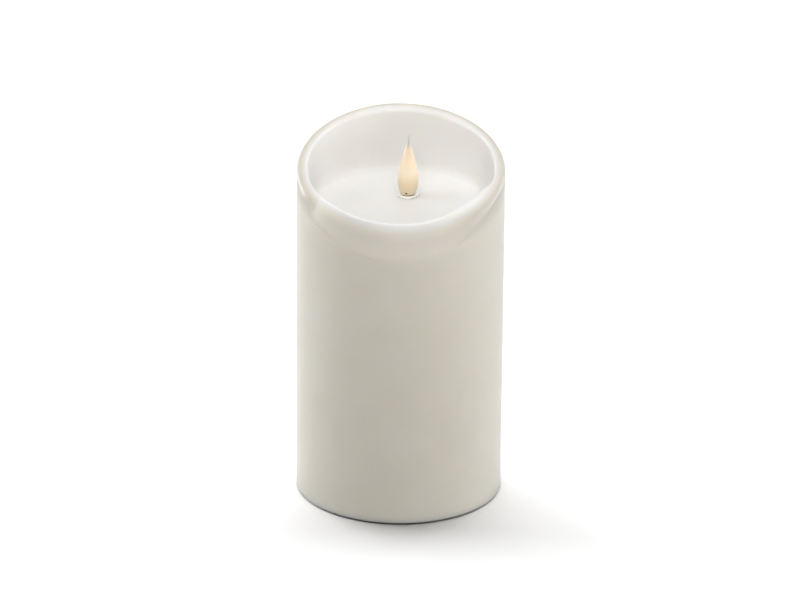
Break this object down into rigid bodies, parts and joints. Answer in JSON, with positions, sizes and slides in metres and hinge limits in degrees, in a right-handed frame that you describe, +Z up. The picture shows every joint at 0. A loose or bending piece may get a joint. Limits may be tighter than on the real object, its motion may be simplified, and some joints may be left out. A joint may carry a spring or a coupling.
{
  "type": "flameless led candle",
  "caption": "Ivory wax pillar candle with a slanted rim and a glowing silicone flame in its bowl, over a battery base with a slide switch and a quarter-turn cover.",
  "frame": {"origin": "middle of the footprint, on the surface that the candle stands on", "axes": "+Z up along the candle; the rim is low at the front (-Y) and high at the back (+Y); +X to the right seen from the front"},
  "size_m": [0.1, 0.1, 0.18],
  "materials": {
    "ivory_wax": "smooth paraffin wax with a soft sheen, slightly translucent",
    "flame_silicone": "frosted translucent silicone, lit warm white from inside",
    "clear_glue": "clear, glossy",
    "led_lens": "warm-tinted clear epoxy",
    "nickel": "nickel-plated spring steel",
    "zinc_steel": "zinc-plated steel",
    "ivory_plastic": "fine moulded texture",
    "black_plastic": "satin moulded",
    "circuit_board": "green solder mask",
    "contact_fibre": "vulcanised fibre board",
    "cell_jacket": "plain printed sleeve with no lettering",
    "capacitor_sleeve": "shrink sleeve",
    "resistor_ceramic": "black film with tinned ends",
    "wire_red": "PVC insulation",
    "wire_black": "PVC insulation"
  },
  "bodies": {
    "candle": {"wax_shell": "ivory_wax", "flame_tip": "flame_silicone", "flame_collar": "clear_glue", "flame_led": "led_lens", "led_anode_lead": "nickel", "led_cathode_lead": "nickel", "flame_holder": "ivory_plastic", "led_board": "circuit_board", "base_plate": "ivory_plastic", "battery_housing": "black_plastic", "contact_carrier": "contact_fibre", "bridge_strip": "nickel", "bridge_spring": "nickel", "contact_plate": "nickel", "contact_spring": "nickel", "cell_1": "cell_jacket", "cell_2": "cell_jacket", "housing_screw_1": "zinc_steel", "housing_screw_2": "zinc_steel", "housing_screw_3": "zinc_steel", "main_board": "circuit_board", "board_screw_1": "zinc_steel", "board_screw_2": "zinc_steel", "timer_chip": "black_plastic", "capacitor": "capacitor_sleeve", "resistor": "resistor_ceramic", "switch_body": "zinc_steel", "wire_battery_positive": "wire_red", "wire_battery_negative": "wire_black", "wire_led_positive": "wire_red", "wire_led_negative": "wire_black"},
    "cover": {"battery_cover": "ivory_plastic"},
    "knob": {"switch_knob": "black_plastic"}
  },
  "joints": [
    {"name": "cover_turn", "type": "hinge", "parent": "candle", "child": "cover", "pos_m": [0, 0, 0.0009], "axis": [0, 0, -1], "range_deg": [0, 60]},
    {"name": "switch_slide", "type": "slide", "parent": "candle", "child": "knob", "axis": [0, 1, 0], "range_m": [-0.002, 0.002]}
  ]
}
